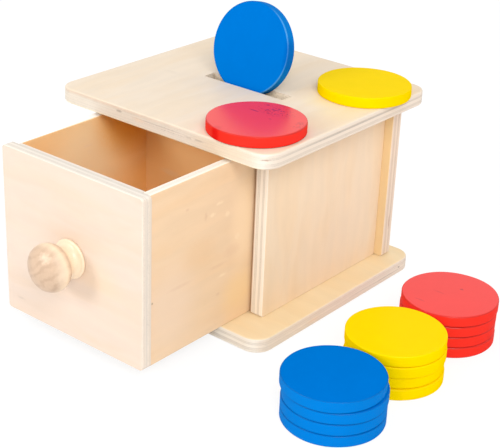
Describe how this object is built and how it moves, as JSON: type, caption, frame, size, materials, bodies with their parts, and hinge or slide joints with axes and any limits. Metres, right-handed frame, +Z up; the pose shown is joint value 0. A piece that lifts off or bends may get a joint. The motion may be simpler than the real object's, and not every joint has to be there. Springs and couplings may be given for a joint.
{
  "type": "object permanence coin box",
  "caption": "Slotted plywood toy box with a pull-out knobbed drawer and painted wooden coins that drop through the slot in its top.",
  "frame": {"origin": "middle of the base panel's underside, which is the plane of the table", "axes": "+Z up, -Y the way the drawer opens, +X to the right when facing the drawer's front; at rest the drawer is 80 mm open and the coins are where the picture shows them"},
  "size_m": [0.2267, 0.2215, 0.1521],
  "materials": {
    "birch_panel": "sanded birch plywood, clear matt lacquer",
    "birch_drawer": "sanded birch plywood, clear matt lacquer",
    "turned_beech": "turned and sanded, clear satin lacquer",
    "dowel_beech": "bare fluted hardwood",
    "screw_steel": "bright zinc plating",
    "blue_paint": "satin water-based paint on wood",
    "yellow_paint": "satin water-based paint on wood",
    "red_paint": "satin water-based paint on wood"
  },
  "bodies": {
    "box": {"base_panel": "birch_panel", "top_panel": "birch_panel", "left_side_panel": "birch_panel", "right_side_panel": "birch_panel", "back_panel": "birch_panel", "base_screws": "screw_steel", "top_dowels": "dowel_beech", "back_dowels": "dowel_beech"},
    "drawer": {"drawer_front": "birch_panel", "drawer_left_side": "birch_drawer", "drawer_right_side": "birch_drawer", "drawer_back": "birch_drawer", "drawer_bottom": "birch_drawer", "drawer_knob": "turned_beech", "knob_screw": "screw_steel", "drawer_dowels": "dowel_beech"},
    "blue_slot_coin": {"blue_slot_coin": "blue_paint"},
    "red_top_coin": {"red_top_coin": "red_paint"},
    "yellow_top_coin": {"yellow_top_coin": "yellow_paint"},
    "blue_stack_coin_1": {"blue_stack_coin_1": "blue_paint"},
    "blue_stack_coin_2": {"blue_stack_coin_2": "blue_paint"},
    "blue_stack_coin_3": {"blue_stack_coin_3": "blue_paint"},
    "blue_stack_coin_4": {"blue_stack_coin_4": "blue_paint"},
    "yellow_stack_coin_1": {"yellow_stack_coin_1": "yellow_paint"},
    "yellow_stack_coin_2": {"yellow_stack_coin_2": "yellow_paint"},
    "yellow_stack_coin_3": {"yellow_stack_coin_3": "yellow_paint"},
    "yellow_stack_coin_4": {"yellow_stack_coin_4": "yellow_paint"},
    "red_stack_coin_1": {"red_stack_coin_1": "red_paint"},
    "red_stack_coin_2": {"red_stack_coin_2": "red_paint"},
    "red_stack_coin_3": {"red_stack_coin_3": "red_paint"},
    "red_stack_coin_4": {"red_stack_coin_4": "red_paint"}
  },
  "joints": [
    {"name": "drawer_slide", "type": "slide", "parent": "box", "child": "drawer", "axis": [0, -1, 0], "range_m": [-0.08, 0.011]},
    {"name": "blue_slot_coin_lift", "type": "slide", "parent": "box", "child": "blue_slot_coin", "axis": [0, 0.2419, 0.9703], "range_m": [0, 0.06]},
    {"name": "red_top_coin_lift", "type": "slide", "parent": "box", "child": "red_top_coin", "axis": [0, 0, 1], "range_m": [0, 0.05]},
    {"name": "yellow_top_coin_lift", "type": "slide", "parent": "box", "child": "yellow_top_coin", "axis": [0, 0, 1], "range_m": [0, 0.05]},
    {"name": "blue_stack_coin_1_lift", "type": "slide", "parent": "box", "child": "blue_stack_coin_1", "axis": [0, 0, 1], "range_m": [0, 0.03]},
    {"name": "blue_stack_coin_2_lift", "type": "slide", "parent": "blue_stack_coin_1", "child": "blue_stack_coin_2", "axis": [0, 0, 1], "range_m": [0, 0.03]},
    {"name": "blue_stack_coin_3_lift", "type": "slide", "parent": "blue_stack_coin_2", "child": "blue_stack_coin_3", "axis": [0, 0, 1], "range_m": [0, 0.03]},
    {"name": "blue_stack_coin_4_lift", "type": "slide", "parent": "blue_stack_coin_3", "child": "blue_stack_coin_4", "axis": [0, 0, 1], "range_m": [0, 0.03]},
    {"name": "yellow_stack_coin_1_lift", "type": "slide", "parent": "box", "child": "yellow_stack_coin_1", "axis": [0, 0, 1], "range_m": [0, 0.03]},
    {"name": "yellow_stack_coin_2_lift", "type": "slide", "parent": "yellow_stack_coin_1", "child": "yellow_stack_coin_2", "axis": [0, 0, 1], "range_m": [0, 0.03]},
    {"name": "yellow_stack_coin_3_lift", "type": "slide", "parent": "yellow_stack_coin_2", "child": "yellow_stack_coin_3", "axis": [0, 0, 1], "range_m": [0, 0.03]},
    {"name": "yellow_stack_coin_4_lift", "type": "slide", "parent": "yellow_stack_coin_3", "child": "yellow_stack_coin_4", "axis": [0, 0, 1], "range_m": [0, 0.03]},
    {"name": "red_stack_coin_1_lift", "type": "slide", "parent": "box", "child": "red_stack_coin_1", "axis": [0, 0, 1], "range_m": [0, 0.03]},
    {"name": "red_stack_coin_2_lift", "type": "slide", "parent": "red_stack_coin_1", "child": "red_stack_coin_2", "axis": [0, 0, 1], "range_m": [0, 0.03]},
    {"name": "red_stack_coin_3_lift", "type": "slide", "parent": "red_stack_coin_2", "child": "red_stack_coin_3", "axis": [0, 0, 1], "range_m": [0, 0.03]},
    {"name": "red_stack_coin_4_lift", "type": "slide", "parent": "red_stack_coin_3", "child": "red_stack_coin_4", "axis": [0, 0, 1], "range_m": [0, 0.03]}
  ]
}
